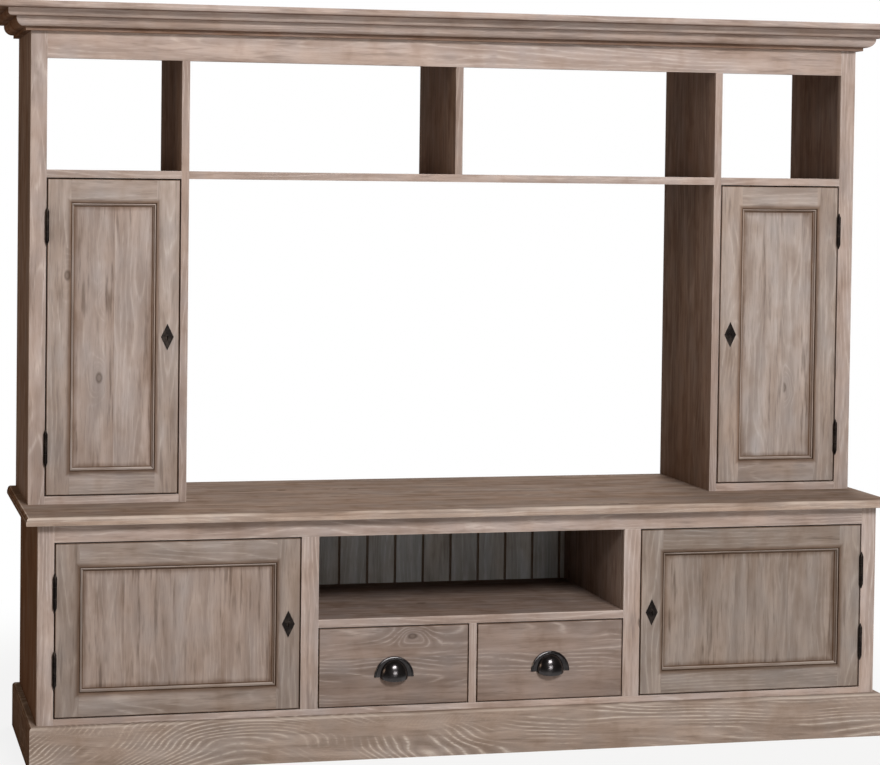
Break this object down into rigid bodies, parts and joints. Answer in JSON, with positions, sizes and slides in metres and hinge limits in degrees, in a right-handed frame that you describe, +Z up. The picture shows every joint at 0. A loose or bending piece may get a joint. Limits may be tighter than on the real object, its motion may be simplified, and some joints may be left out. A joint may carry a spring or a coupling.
{
  "type": "television wall cabinet",
  "caption": "Low pine cabinet with doors, drawers and an open niche, carrying a hutch with narrow cupboards, an open television bay, open compartments and a stepped cornice.",
  "frame": {"origin": "on the floor, under the middle of the footprint's box", "axes": "+X to the right seen from in front, +Y to the back, +Z up; the doors and drawers face -Y"},
  "size_m": [2.3, 0.56, 1.795],
  "materials": {
    "pine_outside": "greyed limed pine, waxed, low sheen",
    "pine_worktop": "darker waxed pine, satin",
    "pine_lining": "greyed pine boards, matt",
    "pine_inside": "plain sanded pine, matt",
    "aged_iron": "browned iron, worn on the high spots",
    "lock_steel": "plain steel lock"
  },
  "bodies": {
    "carcase": {"base_back_boards": "pine_lining", "base_bottom": "pine_outside", "base_foot_rails": "pine_inside", "base_partitions": "pine_outside", "base_rails": "pine_outside", "base_sides": "pine_outside", "base_stiles": "pine_outside", "cornice": "pine_outside", "drawer_runners": "pine_inside", "frame_hinge_leaves": "aged_iron", "hutch_dowels": "pine_inside", "hutch_shelves": "pine_outside", "hutch_sides": "pine_outside", "hutch_stiles": "pine_outside", "hutch_top_board": "pine_outside", "hutch_top_rail": "pine_outside", "hutch_uprights": "pine_outside", "loose_shelves": "pine_inside", "niche_shelf": "pine_outside", "plinth": "pine_outside", "shelf_battens": "pine_inside", "tower_back_boards": "pine_lining", "tower_bottoms": "pine_outside", "worktop": "pine_worktop", "worktop_blocks": "pine_inside"},
    "base_door_left": {"base_door_left_frame": "pine_outside", "base_door_left_panel": "pine_outside", "base_door_left_bead": "pine_outside", "base_door_left_hinge_leaves": "aged_iron", "base_door_left_keyhole_plate": "aged_iron", "base_door_left_lock_case": "lock_steel"},
    "base_door_left_bolt": {"base_door_left_lock_bolt": "lock_steel"},
    "base_door_right": {"base_door_right_frame": "pine_outside", "base_door_right_panel": "pine_outside", "base_door_right_bead": "pine_outside", "base_door_right_hinge_leaves": "aged_iron", "base_door_right_keyhole_plate": "aged_iron", "base_door_right_lock_case": "lock_steel"},
    "base_door_right_bolt": {"base_door_right_lock_bolt": "lock_steel"},
    "tower_door_left": {"tower_door_left_frame": "pine_outside", "tower_door_left_panel": "pine_outside", "tower_door_left_bead": "pine_outside", "tower_door_left_hinge_leaves": "aged_iron", "tower_door_left_keyhole_plate": "aged_iron", "tower_door_left_lock_case": "lock_steel"},
    "tower_door_left_bolt": {"tower_door_left_lock_bolt": "lock_steel"},
    "tower_door_right": {"tower_door_right_frame": "pine_outside", "tower_door_right_panel": "pine_outside", "tower_door_right_bead": "pine_outside", "tower_door_right_hinge_leaves": "aged_iron", "tower_door_right_keyhole_plate": "aged_iron", "tower_door_right_lock_case": "lock_steel"},
    "tower_door_right_bolt": {"tower_door_right_lock_bolt": "lock_steel"},
    "drawer_left": {"drawer_front_left": "pine_outside", "drawer_box_left": "pine_inside", "cup_pull_left": "aged_iron"},
    "drawer_right": {"drawer_front_right": "pine_outside", "drawer_box_right": "pine_inside", "cup_pull_right": "aged_iron"}
  },
  "joints": [
    {"name": "base_door_left_hinge", "type": "hinge", "parent": "carcase", "child": "base_door_left", "pos_m": [-1.0104, -0.2552, 0.32825], "axis": [0, 0, -1], "range_deg": [0, 175]},
    {"name": "base_door_right_hinge", "type": "hinge", "parent": "carcase", "child": "base_door_right", "pos_m": [1.0104, -0.2552, 0.32825], "axis": [0, 0, 1], "range_deg": [0, 175]},
    {"name": "tower_door_left_hinge", "type": "hinge", "parent": "carcase", "child": "tower_door_left", "pos_m": [-1.0174, -0.0752, 0.999], "axis": [0, 0, -1], "range_deg": [0, 175]},
    {"name": "tower_door_right_hinge", "type": "hinge", "parent": "carcase", "child": "tower_door_right", "pos_m": [1.0174, -0.0752, 0.999], "axis": [0, 0, 1], "range_deg": [0, 175]},
    {"name": "base_door_left_bolt_slide", "type": "slide", "parent": "base_door_left", "child": "base_door_left_bolt", "axis": [1, 0, 0], "range_m": [0, 0.008]},
    {"name": "base_door_right_bolt_slide", "type": "slide", "parent": "base_door_right", "child": "base_door_right_bolt", "axis": [-1, 0, 0], "range_m": [0, 0.008]},
    {"name": "tower_door_left_bolt_slide", "type": "slide", "parent": "tower_door_left", "child": "tower_door_left_bolt", "axis": [1, 0, 0], "range_m": [0, 0.008]},
    {"name": "tower_door_right_bolt_slide", "type": "slide", "parent": "tower_door_right", "child": "tower_door_right_bolt", "axis": [-1, 0, 0], "range_m": [0, 0.008]},
    {"name": "drawer_left_slide", "type": "slide", "parent": "carcase", "child": "drawer_left", "axis": [0, -1, 0], "range_m": [0, 0.3]},
    {"name": "drawer_right_slide", "type": "slide", "parent": "carcase", "child": "drawer_right", "axis": [0, -1, 0], "range_m": [0, 0.3]}
  ]
}
